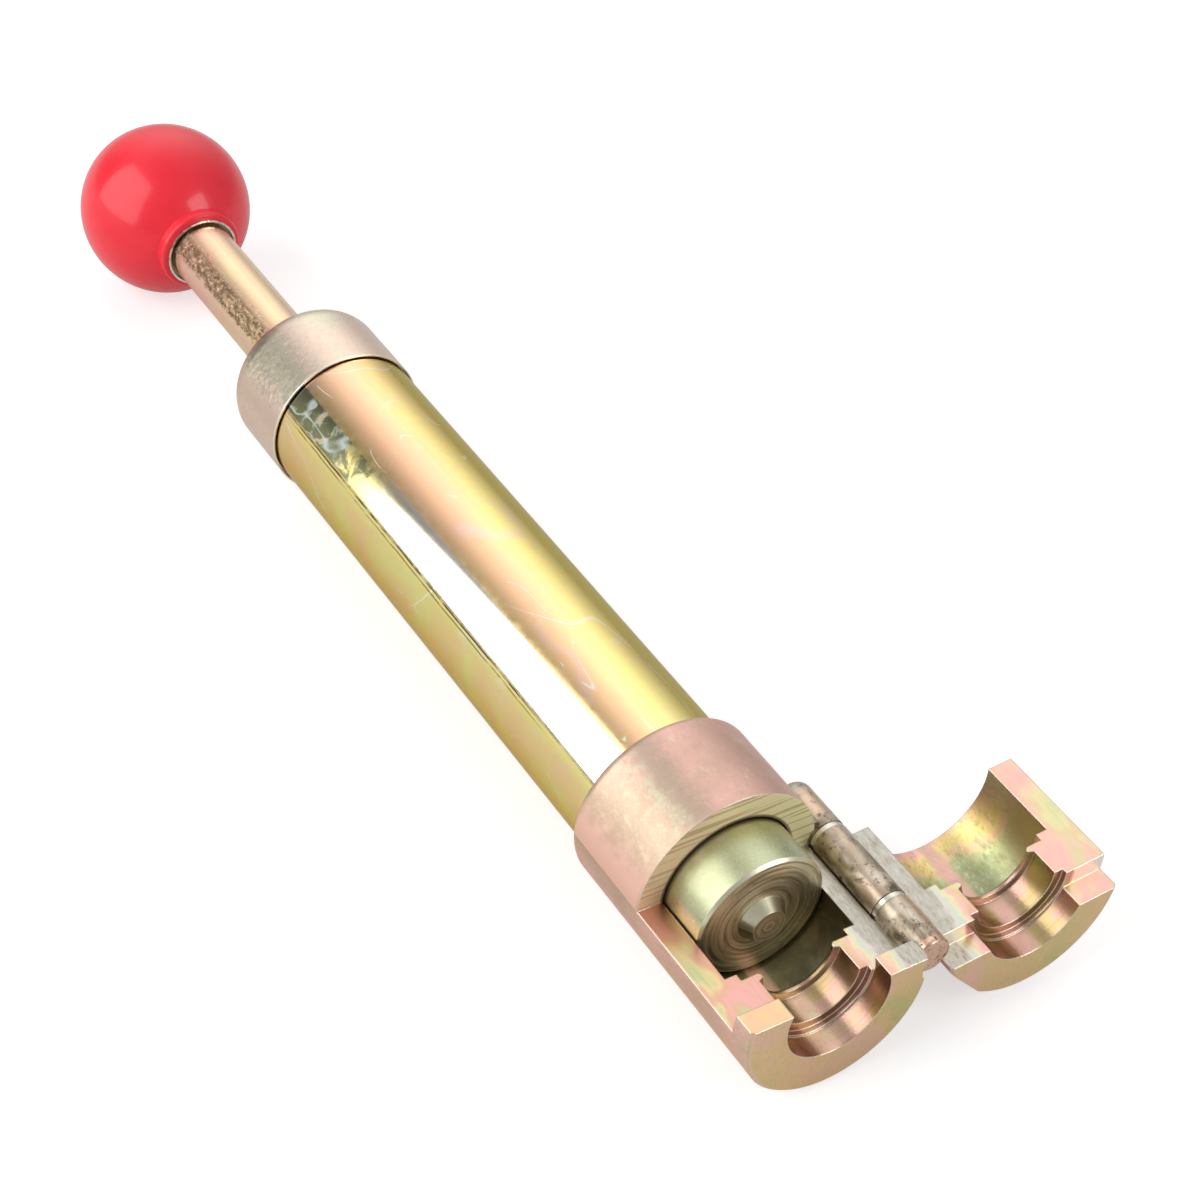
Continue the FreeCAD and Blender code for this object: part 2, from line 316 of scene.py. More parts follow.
class DieHalf:
    """Finish of a die half: turned and milled faces, each with its own marks and tints."""

    def __init__(self, name, closed):
        outside = [
            (0.0, (0.58, 0.42, 0.30)), (0.3, (0.76, 0.50, 0.38)), (0.55, (0.88, 0.55, 0.46)),
            (0.8, (0.80, 0.54, 0.40)), (1.0, (0.70, 0.58, 0.36)),
        ]
        self.shader = shader = plated(
            name, outside, 0.46, patch=42.0, grain=0.5, closed=closed, edge=0.0004)
        self.x, self.y, self.z = shader.axes()
        self.nx, _, self.nz = shader.axes(shader.facing)
        self.radius, self.angle = shader.around()
        self.land = shader.all(
            shader.curve(shader.magnitude(self.nz), *FLAT), shader.band(self.z, -4.0, 7.0, 0.5))
        self.turned_outside()
        self.milled_lands()
        self.heated_land()
        self.stepped_bore()
        self.front_face()

    def turned_outside(self):
        """Fine rings, a pinker top and a few darker and paler rub marks."""
        shader = self.shader
        shader.bump(shader.noise(900.0, detail=2.0, stretch=(1, 0.04, 0.04)), 0.12, 0.00004)
        top = shader.band(self.angle, 40.0, 108.0, 6.0)
        shader.cover(top, (0.72, 0.44, 0.38), share=0.6)
        rub = shader.noise(310.0, detail=5.0, rough=0.75, stretch=(0.6, 1, 1))
        shader.cover(shader.curve(rub, 0.56, 0.72, 0.0, 0.5), (0.46, 0.36, 0.24), 0.5)
        shader.cover(shader.curve(rub, 0.44, 0.30, 0.0, 0.5), (0.86, 0.74, 0.50), 0.5)

    def milled_lands(self):
        """Lands of the split: milled along the tool, in clearer rainbow tints."""
        shader = self.shader
        tint = shader.noise(75.0, detail=2.0, rough=0.45, stretch=(0.55, 1, 1), distort=1.2)
        rainbow = shader.ramp(shader.curve(tint, 0.36, 0.64), [
            (0.0, (0.56, 0.58, 0.30)), (0.18, (0.74, 0.60, 0.34)), (0.4, (0.72, 0.42, 0.29)),
            (0.58, (0.80, 0.42, 0.40)), (0.78, (0.72, 0.44, 0.31)), (1.0, (0.58, 0.54, 0.30)),
        ])
        shader.cover(self.land, rainbow, 0.33)
        strokes = shader.noise(1500.0, detail=2.0, stretch=(0.05, 1, 1))
        strokes = shader.curve(strokes, 0.5, 0.72, 0.0, 0.35)
        shader.cover(shader.all(self.land, strokes), (0.55, 0.42, 0.27))

    def heated_land(self):
        """Land beside the hinge: grey where the brazing heat took the tint off."""
        shader = self.shader
        cloud = shader.noise(230.0, detail=4.0, rough=0.6, stretch=(0.5, 1, 1))
        across = shader.swayed(self.y, cloud, 1.6)
        fringe = shader.ramp(shader.curve(across, 10.5, 14.5), [
            (0.0, (0.74, 0.50, 0.36)), (0.25, (0.78, 0.50, 0.46)), (0.45, (0.76, 0.68, 0.40)),
            (0.65, (0.56, 0.64, 0.54)), (0.85, (0.72, 0.60, 0.56)), (1.0, (0.64, 0.60, 0.50)),
        ])
        shader.cover(shader.all(self.land, shader.band(across, 10.9, 14.8, 0.4)), fringe)
        heated = shader.all(self.land, shader.curve(across, 13.4, 14.8, smooth=True))
        streak = shader.noise(1300.0, detail=5.0, rough=0.8, stretch=(0.3, 1, 1))
        grey = shader.ramp(shader.curve(streak, 0.32, 0.68), [
            (0.0, (0.30, 0.27, 0.22)), (0.4, (0.47, 0.44, 0.37)), (1.0, (0.60, 0.58, 0.52)),
        ])
        shader.cover(heated, grey, 0.36)

    def stepped_bore(self):
        """Turned steps of the bore: copper, pink and a little gold."""
        shader = self.shader
        bore = shader.all(
            shader.curve(self.radius, BORE_REACH - 0.2, BORE_REACH + 0.2, 1.0, 0.0),
            shader.curve(self.x, CHAMBER_FRONT - 0.1, CHAMBER_FRONT + 0.1),
            shader.curve(shader.magnitude(self.nz), 0.97, 0.995, 1.0, 0.0))
        tint = shader.noise(95.0, detail=2.0, stretch=(1.6, 1, 1), distort=0.8)
        bored = shader.ramp(shader.curve(tint, 0.38, 0.62), [
            (0.0, (0.46, 0.34, 0.16)), (0.3, (0.50, 0.34, 0.21)),
            (0.6, (0.53, 0.31, 0.26)), (1.0, (0.48, 0.32, 0.22)),
        ])
        shader.cover(bore, bored, 0.26)
        coil = shader.noise(1400.0, detail=1.0, stretch=(1, 0.02, 0.02))
        coil = shader.curve(coil, 0.55, 0.75, 0.0, 0.4)
        shader.cover(shader.all(bore, coil), (0.28, 0.18, 0.12))

    def front_face(self):
        """Olive and pink front, finely freckled."""
        shader = self.shader
        front = shader.all(
            shader.curve(self.nx, *FLAT),
            shader.curve(self.x, FRONT_FACE - 1.0, FRONT_FACE - 0.5))
        tint = shader.noise(55.0, detail=3.0, distort=0.4)
        faced = shader.ramp(shader.curve(tint, 0.36, 0.64), [
            (0.0, (0.66, 0.58, 0.26)), (0.5, (0.80, 0.58, 0.30)), (1.0, (0.86, 0.56, 0.42)),
        ])
        shader.cover(front, faced, 0.40)
        freckles = shader.noise(900.0, detail=5.0, rough=0.8)
        freckles = shader.curve(freckles, 0.52, 0.70, 0.0, 0.5)
        shader.cover(shader.all(front, freckles), (0.50, 0.42, 0.22))

    def chamber(self):
        """1 on the wall of the hammer's chamber."""
        shader = self.shader
        return shader.all(
            shader.curve(self.radius, CHAMBER_RADIUS + 0.15, CHAMBER_RADIUS + 0.3, 1.0, 0.0),
            shader.curve(self.x, CHAMBER_FRONT - 0.15, CHAMBER_FRONT + 0.1, 1.0, 0.0),
            shader.curve(shader.magnitude(self.nz), 0.99, 0.999, 1.0, 0.0))

    def done(self):
        """Painted highlight along the edges, in a pale bare-metal colour, goes over everything
        else.
        """
        self.shader.cover(self.shader.edge, PAINTED_HIGHLIGHT, 0.22, share=0.8)
        return self.shader.done()


def ring_face(die):
    """Face of the ring: sawn, with slanting cutter marks, and painted shade where it meets the
    head.
    """
    shader = die.shader
    sawn = shader.all(
        shader.curve(die.nx, *FLAT),
        shader.band(die.x, RING_FACE - 0.2, RING_FACE + 0.2, 0.1))
    tone = shader.mix(shader.curve(die.y, -14.0, 14.0), (1.0, 0.74, 0.46), (1.0, 0.95, 0.56))
    shader.cover(sawn, tone, 0.48)
    shader.dull = shader.times(sawn, 0.75)
    slant = (math.radians(-12), 0, 0)
    marks = shader.noise(1500.0, detail=2.0, rough=0.5, stretch=(1, 0.02, 1), turn=slant)
    shader.cover(shader.all(sawn, shader.curve(marks, 0.53, 0.60, 0.0, 0.7)), (0.56, 0.38, 0.20))
    shader.cover(shader.all(sawn, shader.curve(marks, 0.36, 0.30, 0.0, 0.5)), (0.78, 0.80, 0.46))
    shader.bump(shader.times(marks, sawn), 0.5, 0.00012)
    # painted shade at the bore's edge, widening the dark gap round the head
    rim = shader.curve(die.radius, CHAMBER_RADIUS + 0.7, CHAMBER_RADIUS + 0.25, 0.0, 0.9)
    shader.cover(shader.all(sawn, rim), (0.16, 0.09, 0.05), 0.5)


def body_plating():
    die = DieHalf("die_body_zinc", False)
    shader = die.shader
    # Hammer chamber: darker and mottled
    film = shader.noise(160.0, detail=4.0, distort=0.5)
    dark_mottle = shader.ramp(shader.curve(film, *NOISE), [
        (0.0, (0.16, 0.15, 0.09)), (0.6, (0.28, 0.27, 0.17)), (1.0, (0.42, 0.38, 0.24)),
    ])
    shader.cover(die.chamber(), dark_mottle, 0.34)
    ring_face(die)
    # Raised block at the mouth keeps a warm gold top
    top = shader.all(
        die.land, shader.curve(die.z, 3.6, 3.8), shader.curve(die.y, 8.0, 14.0, 1.0, 0.0))
    shader.cover(top, (0.80, 0.54, 0.31), 0.3, share=0.8)
    # Lower body: browner below the split
    outside = shader.curve(die.radius, OUTSIDE_RADIUS - 0.45, OUTSIDE_RADIUS - 0.25)
    low = shader.all(
        shader.curve(die.z, -0.5, -6.0, smooth=True), outside,
        shader.curve(die.x, RING_FACE - 1.0, RING_FACE + 0.5))
    shader.cover(low, (0.80, 0.56, 0.34), share=0.55)
    # Round the ring, from its top to its far side: brown painted dark reflection, mottled
    # grey-green, pink
    ring = shader.all(outside, shader.curve(die.x, RING_FACE + 0.5, RING_FACE - 1.0))
    mottle = shader.noise(420.0, detail=5.0, rough=0.7)
    around = shader.swayed(die.angle, mottle, 4.0)
    brown = shader.all(shader.band(around, 106.0, 121.0, 8.0), ring)
    shader.cover(brown, (0.44, 0.36, 0.28), 0.46, share=0.65)
    mottled = shader.all(
        shader.band(around, 118.0, 140.0, 6.0), ring,
        shader.curve(mottle, 0.45, 0.65, 0.0, 0.75))
    shader.cover(mottled, (0.60, 0.62, 0.44), 0.5)
    pink = shader.all(shader.band(around, 158.0, 190.0, 12.0), ring)
    shader.cover(pink, (0.96, 0.62, 0.50))
    return die.done()


def clam_plating():
    die = DieHalf("die_clam_zinc", True)
    shader = die.shader
    # Hammer chamber: rainbow bands from its rear rim forwards, olive on the outer side
    wall = die.chamber()
    wobble = shader.noise(90.0, detail=3.0, distort=0.8)
    depth = shader.swayed(die.x, wobble, 4.0)
    depth = shader.plus(depth, shader.curve(die.angle, 0.0, 60.0, -7.0, 0.0))
    bands = shader.ramp(shader.curve(depth, -38.0, -16.0), [
        (0.0, (0.76, 0.46, 0.40)), (0.16, (0.92, 0.50, 0.44)), (0.28, (0.92, 0.68, 0.30)),
        (0.38, (0.80, 0.66, 0.26)), (0.48, (0.80, 0.54, 0.32)), (0.58, (0.50, 0.54, 0.26)),
        (0.72, (0.40, 0.43, 0.22)), (1.0, (0.34, 0.36, 0.20)),
    ])
    shader.cover(wall, bands, 0.38)
    outer = shader.curve(shader.swayed(die.angle, wobble, 10.0), 128.0, 162.0, 0.0, 0.8)
    shader.cover(shader.all(wall, outer), (0.34, 0.28, 0.13), 0.42)
    # Steps across the lands: painted highlight, paler
    steps = shader.all(
        shader.curve(shader.magnitude(die.nx), 0.93, 0.98), shader.curve(die.radius, 12.6, 13.0),
        shader.band(die.x, -14.0, -2.0, 0.5))
    shader.cover(steps, (0.97, 0.90, 0.80), 0.4)
    # Outer land: broad patches of pink and yellow-green
    land = shader.all(die.land, shader.curve(die.y, 10.0, 8.0))
    patches = shader.curve(shader.noise(48.0, detail=3.0, distort=1.4), 0.44, 0.56)
    patches = shader.mix(patches, (0.92, 0.54, 0.50), (0.74, 0.72, 0.40))
    shader.cover(land, patches, share=0.5)
    # Grey smudges and dark specks in the chamber
    smudge = shader.noise(760.0, detail=5.0, rough=0.8, stretch=(0.6, 1.0, 1.0))
    grey = shader.all(
        wall, shader.curve(smudge, 0.54, 0.64, 0.0, 0.8),
        shader.band(die.angle, 30.0, 120.0, 25.0), shader.curve(depth, -30.0, -24.0))
    shader.cover(grey, (0.66, 0.68, 0.60), 0.42)
    specks = shader.curve(smudge, 0.50, 0.34, 0.0, 0.6)
    shader.cover(shader.all(wall, specks), (0.30, 0.27, 0.15), 0.5)
    return die.done()


def tube_tints(shader, x, angle):
    """Pink streaks along the tube, yellow-green between them, pinker near the cap."""
    swing = shader.noise(18.0, detail=2.0, stretch=(0.5, 1, 1))
    turn = shader.times(shader.math("SUBTRACT", angle, 108.0), math.radians(3))
    wave = shader.swayed(shader.math("COSINE", turn), swing, 0.45)
    shader.cover(shader.curve(wave, 0.05, 0.95, 0.0, 0.9, smooth=True), (0.98, 0.56, 0.36))
    patches = shader.noise(60.0, detail=2.0, distort=0.8)
    shader.cover(shader.curve(patches, 0.62, 0.70, 0.0, 0.4), (0.93, 0.62, 0.62))
    green = shader.swayed(wave, patches, 0.3)
    shader.cover(shader.curve(green, -0.85, -1.15, 0.0, 0.4), (0.84, 0.84, 0.34))
    cap_end = shader.curve(shader.swayed(x, patches, 18.0), -168.0, -192.0, smooth=True)
    shader.cover(cap_end, (0.92, 0.58, 0.40), share=0.5)
    return patches


def tube_strip(shader, x, angle, patches):
    """A paler strip that is a painted reflection of the side light, with thin painted dark lines
    at its edge.
    """
    # painted reflection of the side light along the tube
    pale = shader.all(
        shader.band(angle, 123.0, 150.0, 1.0), shader.curve(x, -160.0, -140.0, smooth=True))
    shader.cover(pale, (0.97, 0.93, 0.84), 0.08, share=0.85)
    # thin dark lines along the strip's edge: painted reflection of the horizon
    waver = shader.noise(60.0, detail=4.0, rough=0.7, stretch=(0.4, 1, 1))
    waver = shader.swayed(angle, waver, 0.9)
    broken = shader.noise(240.0, detail=3.0, stretch=(0.6, 1, 1))
    broken = shader.all(
        shader.curve(broken, 0.40, 0.50, 0.25, 1.0), shader.curve(x, -72.0, -92.0, smooth=True))
    thin = shader.times(shader.band(waver, 153.4, 154.4, 0.3), 0.8)
    drawn = shader.math("MAXIMUM", shader.band(waver, 150.2, 151.6, 0.3), thin)
    shader.cover(shader.all(drawn, broken), (0.12, 0.07, 0.03), 0.3)
    # Olive painted dark reflection on the hinge's side, pink patches low on the other
    turn = shader.magnitude(angle)
    shader.cover(shader.curve(turn, 66.0, 56.0, smooth=True), (0.52, 0.46, 0.18), 0.22, 0.75)
    low = shader.all(
        shader.curve(turn, 155.0, 162.0, smooth=True), shader.curve(patches, 0.40, 0.60))
    shader.cover(low, (0.95, 0.62, 0.34), share=0.6)


def tube_dark_reflection(shader, x, angle):
    """Painted dark reflection beside the cap, on the side away from the hinge, mottled and
    scuffed.
    """
    mottle = shader.noise(240.0, detail=5.0, rough=0.65, distort=0.6)
    reach = shader.curve(shader.swayed(x, mottle, 12.0), -156.0, -168.0, smooth=True)
    dark_reflection = shader.all(shader.band(angle, 127.5, 149.0, 1.0), reach)
    # painted dark reflection, with mottles and scuffs laid over it
    shader.cover(dark_reflection, (0.13, 0.15, 0.09), 0.2, share=0.92)
    shader.cover(
        shader.all(dark_reflection, shader.curve(mottle, 0.54, 0.62, 0.0, 0.7)), (0.34, 0.38, 0.30), 0.4)
    brown = shader.curve(shader.noise(90.0, detail=3.0, distort=1.5), 0.60, 0.64, 0.0, 0.6)
    shader.cover(shader.all(dark_reflection, brown), (0.66, 0.54, 0.40), 0.3)
    swirls = shader.hairlines(48.0, 0.016, 1.2, (1, 1.4, 1.4), 0.40)
    shader.cover(shader.all(dark_reflection, swirls), (0.46, 0.52, 0.50), 0.4)


def barrel_plating():
    """Glossy drawn tube: gold, with pink streaks along it and curved scratches."""
    stops = [(0.0, (0.90, 0.80, 0.28)), (0.45, (0.95, 0.78, 0.28)), (1.0, (0.96, 0.70, 0.32))]
    shader = plated(
        "barrel_zinc_plating", stops, 0.13, patch=26.0, grain=0.05, stretch=(0.4, 1, 1))
    shader.set(
        Coat_Weight=0.25, Coat_Roughness=0.05, Specular_Tint=(0.74, 0.64, 0.32, 1.0))
    x, _, _ = shader.axes()
    _, angle = shader.around()
    patches = tube_tints(shader, x, angle)
    lines = shader.hairlines(17.0, 0.0035, 0.5, (1.0, 1.6, 1.6), 0.42)
    nicks = shader.hairlines(60.0, 0.006, 0.2, (0.5, 1.6, 1.6), 0.54)
    marks = shader.math("MAXIMUM", lines, nicks)
    shader.cover(marks, (0.90, 0.92, 0.90), 0.45, share=0.75)
    haze = shader.noise(45.0, detail=4.0, rough=0.65, distort=0.5)
    shader.cover(shader.curve(haze, 0.64, 0.72, 0.0, 0.35), (0.96, 0.92, 0.82), 0.28)
    tube_strip(shader, x, angle, patches)
    tube_dark_reflection(shader, x, angle)
    # Painted shade in the open gap under the cap's rim
    joint_shade = shader.band(x, CAP_RIM - 3.0, CAP_RIM - 0.3, 0.3)
    shader.cover(joint_shade, (0.20, 0.10, 0.05), 0.5)
    shader.bump(shader.noise(25.0, detail=1.0, stretch=(0.25, 1, 1)), 0.25, 0.0003)
    shader.bump(marks, -0.3, 0.00004)
    return shader.done()


def rod_plating():
    """Sliding rod: gold and pink, with a rough streak along one side, its dark part partly painted
    dark reflection.
    """
    stops = [
        (0.0, (0.95, 0.76, 0.40)), (0.4, (0.96, 0.70, 0.42)),
        (0.75, (0.95, 0.62, 0.42)), (1.0, (0.93, 0.60, 0.46)),
    ]
    shader = plated(
        "rod_zinc_plating", stops, 0.22, patch=40.0, grain=0.2, stretch=(0.35, 1, 1))
    _, angle = shader.around()
    mottle = shader.noise(1100.0, detail=5.0, rough=0.75, stretch=(0.6, 1, 1))
    # rough mottled streak, its dark part also a painted dark reflection
    streak = shader.band(shader.swayed(angle, mottle, 8.0), 120.0, 158.0, 5.0)
    dark = shader.all(streak, shader.curve(mottle, 0.68, 0.44, 0.1, 0.95))
    shader.cover(dark, (0.16, 0.10, 0.055), 0.5)
    shader.cover(shader.all(streak, shader.curve(mottle, 0.60, 0.68)), (0.95, 0.80, 0.62), 0.4)
    shader.bump(shader.times(mottle, streak), 0.6, 0.00015)
    shader.cover(shader.band(angle, 160.0, 179.0, 4.0), (0.88, 0.62, 0.48), share=0.6)
    return shader.done()


def cap_plating():
    """Dull end cap: pinkish beige, an olive-grey rubbed patch that is partly painted dark
    reflection, painted shadow where the rod goes in, painted highlight on the rim.
    """
    stops = [
        (0.0, (0.86, 0.72, 0.50)), (0.4, (0.88, 0.66, 0.52)),
        (0.75, (0.84, 0.66, 0.54)), (1.0, (0.76, 0.68, 0.52)),
    ]
    shader = plated("cap_zinc_plating", stops, 0.32, patch=60.0, grain=0.6, edge=0.0003)
    x, _, _ = shader.axes()
    radius, angle = shader.around()
    mottle = shader.noise(1100.0, detail=5.0, rough=0.75, stretch=(1.0, 0.6, 0.6))
    # rough rubbed patch, darkened also as painted dark reflection
    patch = shader.band(shader.swayed(angle, mottle, 9.0), 118.0, 152.0, 9.0)
    rubbed = shader.all(patch, shader.curve(mottle, 0.66, 0.40, 0.55, 1.0))
    shader.cover(rubbed, (0.33, 0.32, 0.24), 0.36)
    shader.bump(shader.times(mottle, patch), 0.5, 0.00012)
    # painted shadow round the rod where it goes into the cap
    hole_shadow = shader.all(
        shader.curve(x, CAP_END + 1.4, CAP_END + 0.6), shader.curve(radius, 10.2, 8.6))
    shader.cover(hole_shadow, (0.40, 0.24, 0.13), 0.5)
    shader.cover(shader.band(angle, 150.0, 172.0, 8.0), (0.60, 0.46, 0.38), share=0.5)
    # painted highlight on the rim and along the edges
    shader.cover(shader.curve(x, CAP_RIM - 0.55, CAP_RIM - 0.25), PAINTED_HIGHLIGHT, 0.3)
    shader.cover(shader.edge, PAINTED_HIGHLIGHT, 0.28, share=0.5)
    return shader.done()


def head_plating():
    """Hammer head: pale green side, dark turned face, pale nose flank with painted shade on one
    side, painted shade at the ring, painted highlight on the face's rim.
    """
    stops = [(0.0, (0.44, 0.46, 0.26)), (0.5, (0.56, 0.60, 0.37)), (1.0, (0.58, 0.46, 0.31))]
    shader = plated("head_zinc_plating", stops, 0.36, patch=42.0, grain=0.3, edge=0.0003)
    x, _, _ = shader.axes()
    nx, _, _ = shader.axes(shader.facing)
    radius, angle = shader.around()
    face = shader.all(
        shader.curve(nx, 0.9, 0.97), shader.curve(x, HEAD_FACE - 0.4, HEAD_FACE - 0.1))
    rings = shader.arcs(radius, 1.5, 0.07)
    turned = shader.ramp(shader.curve(rings, 0.35, 0.65), [
        (0.0, (0.40, 0.36, 0.24)), (0.5, (0.72, 0.64, 0.44)), (1.0, (1.0, 0.92, 0.70)),
    ])
    shader.cover(face, turned, 0.40)
    shader.bump(shader.times(rings, face), 0.4, 0.00016)
    # Flank of the nose, pale, with painted shade towards the hinge
    nose = shader.all(
        shader.curve(radius, NOSE_RADIUS + 0.1, NOSE_RADIUS - 0.1),
        shader.curve(x, HEAD_FACE, HEAD_FACE + 0.2), shader.curve(nx, 0.95, 0.9))
    shader.cover(nose, (0.74, 0.72, 0.52), 0.3)
    shader.cover(
        shader.all(nose, shader.curve(angle, 100.0, 60.0, smooth=True)), (0.30, 0.24, 0.16), 0.4)
    # Side: painted shade where it goes into the ring
    back = shader.all(
        shader.curve(x, -35.1, -36.4, smooth=True), shader.curve(radius, 13.0, 13.4))
    shader.cover(back, (0.14, 0.09, 0.05), 0.5, share=0.85)
    worn = shader.noise(300.0, detail=4.0, rough=0.7, stretch=(0.6, 1, 1))
    shader.cover(shader.curve(worn, 0.60, 0.70, 0.0, 0.5), (0.30, 0.25, 0.15), 0.45)
    # painted highlight on the rim of the face
    rim = shader.all(
        shader.band(radius, 13.35, 14.2, 0.05), shader.curve(x, HEAD_FACE - 0.7, HEAD_FACE - 0.55))
    shader.cover(rim, (0.86, 0.82, 0.62), 0.3)
    return shader.done()


def heated_steel(name, warm, closed=False):
    """Knuckle: rough steel, scaled and pitted by the brazing flame."""
    stops = [(0.0, (0.12, 0.09, 0.06)), (0.45, (0.36, 0.29, 0.20)), (1.0, (0.66, 0.57, 0.45))]
    shader = plated(name, stops, 0.36, patch=260.0, grain=0.6, closed=closed, edge=0.0003)
    warm(shader)
    specks = shader.noise(520.0, detail=5.0, rough=0.75)
    shader.cover(shader.curve(specks, 0.54, 0.68, 0.0, 0.9), SOOT, 0.6)
    shader.bump(specks, -0.6, 0.00025)
    return shader.done()


def warm_front(shader):
    """Coppery outer side and end."""
    x, y, _ = shader.axes()
    across = shader.swayed(y, shader.noise(200.0, detail=2.0), 1.0)
    shader.cover(shader.curve(across, 22.6, 24.4, smooth=True), (0.64, 0.47, 0.35), 0.28)
    shader.cover(shader.curve(x, -4.6, -3.4, smooth=True), (0.76, 0.50, 0.37), 0.26)


def warm_rear(shader):
    """Lumpy weld at the rear end, coppery before it."""
    x, _, _ = shader.axes()
    lumps = shader.noise(330.0, detail=3.0, rough=0.6)
    weld = shader.curve(x, -43.5, -46.0, smooth=True)
    shader.cover(weld, (0.46, 0.42, 0.36), 0.42)
    shader.cover(shader.band(x, -46.0, -38.0, 1.2), (0.66, 0.50, 0.36), 0.3)
    shader.bump(shader.times(lumps, weld), 0.8, 0.0005)


def warm_middle(shader):
    """Coppery streaks."""
    streaks = shader.noise(160.0, detail=3.0, stretch=(0.3, 1, 1), distort=0.4)
    shader.cover(shader.curve(streaks, 0.5, 0.62, 0.0, 0.7), (0.56, 0.43, 0.32), 0.28)


def plain_metal(name, color, rough, lumpy=0.0):
    """Metal in one tone and a darker one, lumpy where it was melted on."""
    shader = Shader(name)
    tone = shader.noise(400.0, detail=4.0)
    dark = tuple(0.6 * c for c in color)
    shader.color = shader.mix(shader.curve(tone, 0.35, 0.7), color, dark)
    shader.rough = shader.curve(tone, *NOISE, rough, rough + 0.1)
    shader.bump(shader.noise(1500.0, detail=2.0), 0.2, 0.00003)
    if lumpy:
        shader.bump(shader.noise(500.0, detail=3.0), lumpy, 0.0004)
    return shader.done()


def insert_steel():
    """Bright uneven rim, with painted shade inside its mouth."""
    shader = Shader("insert_steel")
    tone = shader.noise(900.0, detail=4.0)
    shader.color = shader.ramp(tone, [(0.35, (0.62, 0.60, 0.56)), (0.6, (0.92, 0.90, 0.88))])
    shader.rough = 0.18
    radius, _ = shader.around()
    # painted shade inside the mouth
    mouth = shader.curve(radius, INSERT_MOUTH + 0.22, INSERT_MOUTH + 0.1)
    shader.cover(mouth, (0.34, 0.28, 0.20), 0.4)
    shader.bump(tone, 0.6, 0.0003)
    return shader.done()


def rubber():
    shader = Shader("black_rubber")
    tone = shader.noise(500.0)
    shader.color = shader.ramp(tone, [(0.3, (0.02, 0.02, 0.02)), (0.7, (0.05, 0.05, 0.05))])
    shader.rough = 0.7
    return shader.done(0.0)


def red_plastic():
    """Glossy moulded plastic with a faint flow pattern and hairline scuffs."""
    shader = Shader("red_moulded_plastic")
    tone = shader.curve(shader.noise(55.0, detail=3.0), *NOISE)
    shader.color = shader.ramp(tone, [(0.0, (0.86, 0.018, 0.036)), (1.0, (0.94, 0.030, 0.052))])
    lines = shader.hairlines(40.0, 0.004, 0.4, (1, 1, 1), 0.56)
    shader.rough = shader.plus(shader.times(lines, 0.2), 0.34)
    shader.set(Coat_Weight=0.5, Coat_Roughness=0.13, Specular_IOR_Level=0.25)
    shader.bump(shader.noise(260.0, detail=2.0), 0.05, 0.0001)
    return shader.done(0.0)


def dress(name, material):
    """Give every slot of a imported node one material."""
    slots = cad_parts[name].material_slots
    for slot in slots:
        slot.link = "OBJECT"
        slot.material = material


def make_materials():
    washer = plain_metal("washer_steel", (0.88, 0.84, 0.72), 0.22)
    braze = plain_metal("brazing_metal", (0.50, 0.44, 0.32), 0.4, 0.8)
    pin = plain_metal("pin_steel", (0.62, 0.62, 0.64), 0.25)
    finishes = {
        "die_body": body_plating(), "die_clam": clam_plating(),
        "rear_knuckle": heated_steel("rear_knuckle_steel", warm_rear),
        "front_knuckle": heated_steel("front_knuckle_steel", warm_front),
        "clam_knuckle": heated_steel("clam_knuckle_steel", warm_middle, True),
        "rear_hinge_washer": washer, "front_hinge_washer": washer,
        "rear_knuckle_brazing": braze, "front_knuckle_brazing": braze,
        "clam_knuckle_brazing": braze,
        "hinge_pin": pin, "head_lock_pin": pin,
        "barrel_tube": barrel_plating(), "end_cap": cap_plating(), "hammer_head": head_plating(),
        "plunger_rod": rod_plating(), "ball_knob": red_plastic(), "buffer_ring": rubber(),
        "guide_bush": plain_metal("bush_bronze", (0.70, 0.50, 0.24), 0.3),
        "knob_insert": insert_steel(),
    }
    for name, material in finishes.items():
        dress(name, material)


def make_camera():
    azimuth = math.radians(CAMERA_AZIMUTH)
    elevation = math.radians(CAMERA_ELEVATION)
    roll = math.radians(CAMERA_ROLL)
    forward = Vector((
        -math.sin(azimuth) * math.cos(elevation),
        math.cos(azimuth) * math.cos(elevation),
        -math.sin(elevation),
    ))
    level = Vector((math.cos(azimuth), math.sin(azimuth), 0.0))
    above = level.cross(forward)
    right = level * math.cos(roll) + above * math.sin(roll)
    up = above * math.cos(roll) - level * math.sin(roll)
    turn = Matrix((right, up, -forward)).transposed()
    data = bpy.data.cameras.new("camera")
    data.sensor_width = SENSOR_MM
    data.lens = SENSOR_MM * FOCAL_PIXELS / PHOTO_PIXELS
    data.clip_start = 0.01
    camera = bpy.data.objects.new("camera", data)
    camera.matrix_world = Matrix.Translation(CAMERA_PLACE) @ turn.to_4x4()
    bpy.context.scene.collection.objects.link(camera)
    bpy.context.scene.camera = camera


def seen_rays(shader, in_metal=1.0):
    """1 on rays that show the studio: to the camera, in metal and through glass."""
    path = shader.add("ShaderNodeLightPath")
    metal = shader.times(path.outputs["Is Glossy Ray"], in_metal)
    seen = shader.math("MAXIMUM", path.outputs["Is Camera Ray"], metal)
    return shader.math("MAXIMUM", seen, path.outputs["Is Transmission Ray"])


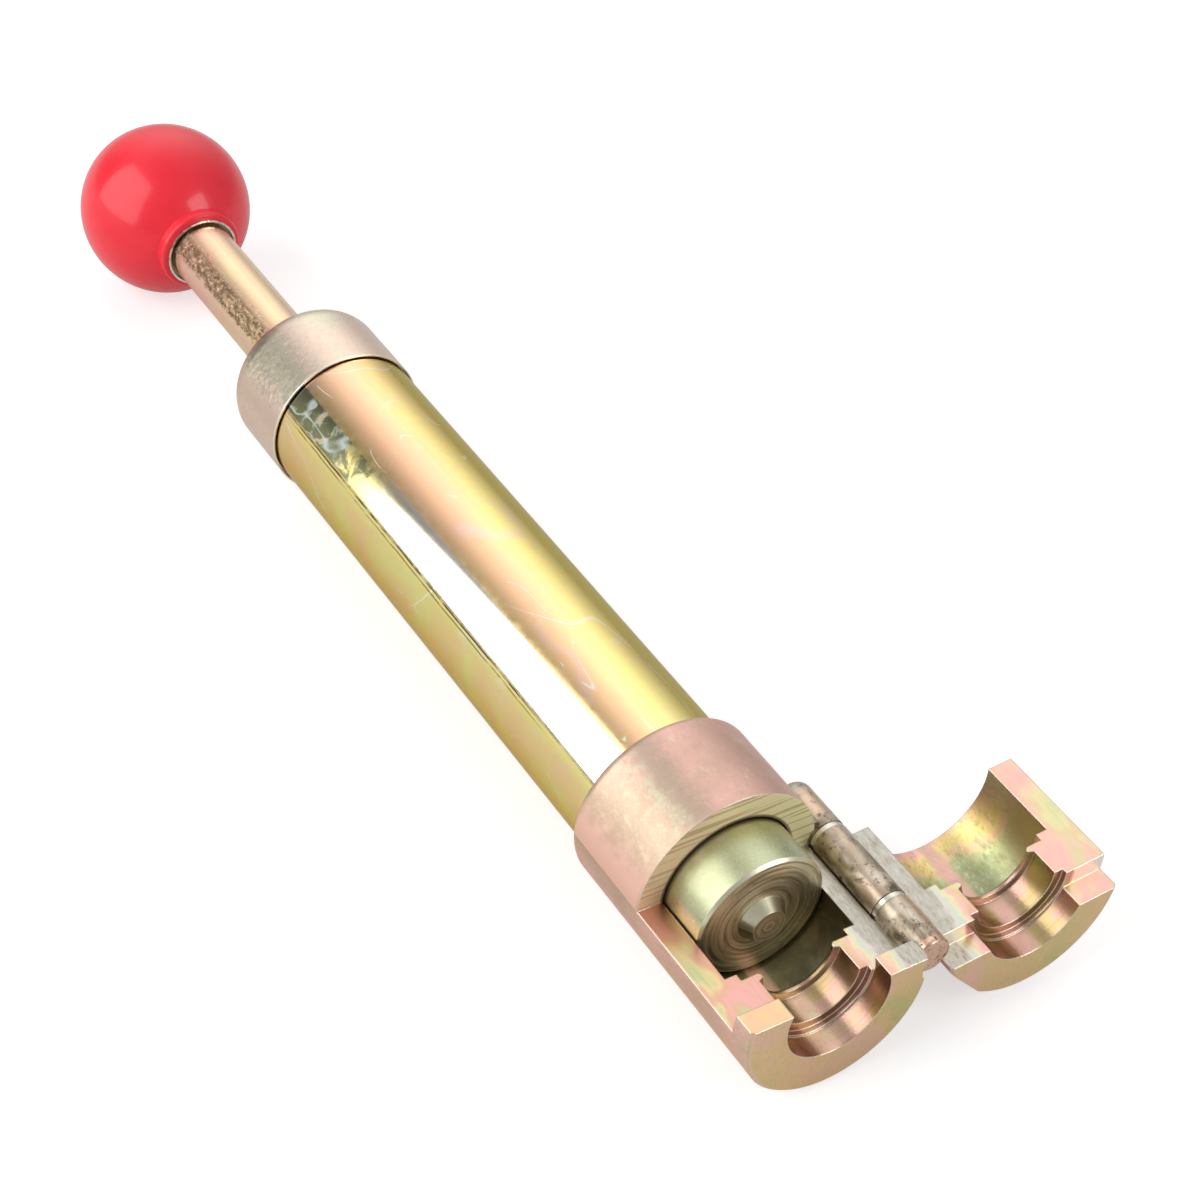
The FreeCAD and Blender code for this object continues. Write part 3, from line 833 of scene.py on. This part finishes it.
def make_floor():
    low = CAD_LOW[2] - FLOOR_CLEARANCE
    half = FLOOR_SIZE / 2
    mesh = bpy.data.meshes.new("floor")
    corners = [(-half, -half, low), (half, -half, low), (half, half, low), (-half, half, low)]
    mesh.from_pydata(corners, [], [(0, 1, 2, 3)])
    floor = bpy.data.objects.new("floor", mesh)
    bpy.context.scene.collection.objects.link(floor)
    shader = Shader("floor_paper")
    shader.set(Base_Color=FLOOR_COLOR, Roughness=0.9, Specular_IOR_Level=0.0)
    shader.set(Emission_Color=WHITE)
    glow = shader.times(seen_rays(shader, FLOOR_IN_METAL), FLOOR_GLOW)
    shader.link(glow, shader.bsdf.inputs["Emission Strength"])
    mesh.materials.append(shader.material)


class World(Shader):
    """The studio round the object, with the same short calls."""

    def __init__(self, name):
        self.world = bpy.data.worlds.new(name)
        bpy.context.scene.world = self.world
        self.world.use_nodes = True
        self.tree = self.world.node_tree
        self.background = self.tree.nodes["Background"]
        self.place = self.add("ShaderNodeTexCoord").outputs["Generated"]

    def towards(self, direction, power):
        dot = self.add("ShaderNodeVectorMath", operation="DOT_PRODUCT")
        self.link(self.place, dot.inputs[0])
        dot.inputs[1].default_value = Vector(direction).normalized()
        return self.math("POWER", self.math("MAXIMUM", dot.outputs["Value"], 0.0), power)


def make_world():
    """Pale backdrop with one broad soft glow; a share of it lights matt surfaces."""
    world = World("studio")
    glow = world.times(world.towards(GLOW_FROM, GLOW_POWER), GLOW)
    shade = world.times(world.towards(SHADE_FROM, SHADE_POWER), SHADE)
    level = world.math("SUBTRACT", world.plus(glow, WALL), shade)
    share = world.curve(seen_rays(world), 0.0, 1.0, FILL, 1.0)
    world.background.inputs["Color"].default_value = WHITE
    world.link(world.times(level, share), world.background.inputs["Strength"])


def make_lamp(name, place, target, size, level):
    """Soft box; its level is its brightness, where 1 is white."""
    data = bpy.data.lights.new(name, "AREA")
    data.shape = "RECTANGLE"
    data.size, data.size_y = size
    data.energy = level * math.pi * size[0] * size[1]
    lamp = bpy.data.objects.new(name, data)
    lamp.location = place
    aim = Vector(target) - Vector(place)
    lamp.rotation_euler = aim.to_track_quat("-Z", "Y").to_euler()
    bpy.context.scene.collection.objects.link(lamp)


def make_lights():
    # Leans over the object; its lower edge is at the floor's level
    make_lamp(
        "side_box", place=(-0.453, -0.836, 0.692), target=(-0.453, 0.0, 0.483),
        size=(1.31, 1.3), level=2.4)
    make_lamp(
        "front_box", place=(0.585, 0.46, 0.50), target=(-0.28, 0.0, 0.0),
        size=(0.5, 0.45), level=3.6)


make_materials()
make_camera()
make_floor()
make_world()
make_lights()

bpy.context.scene.view_settings.view_transform = "Standard"
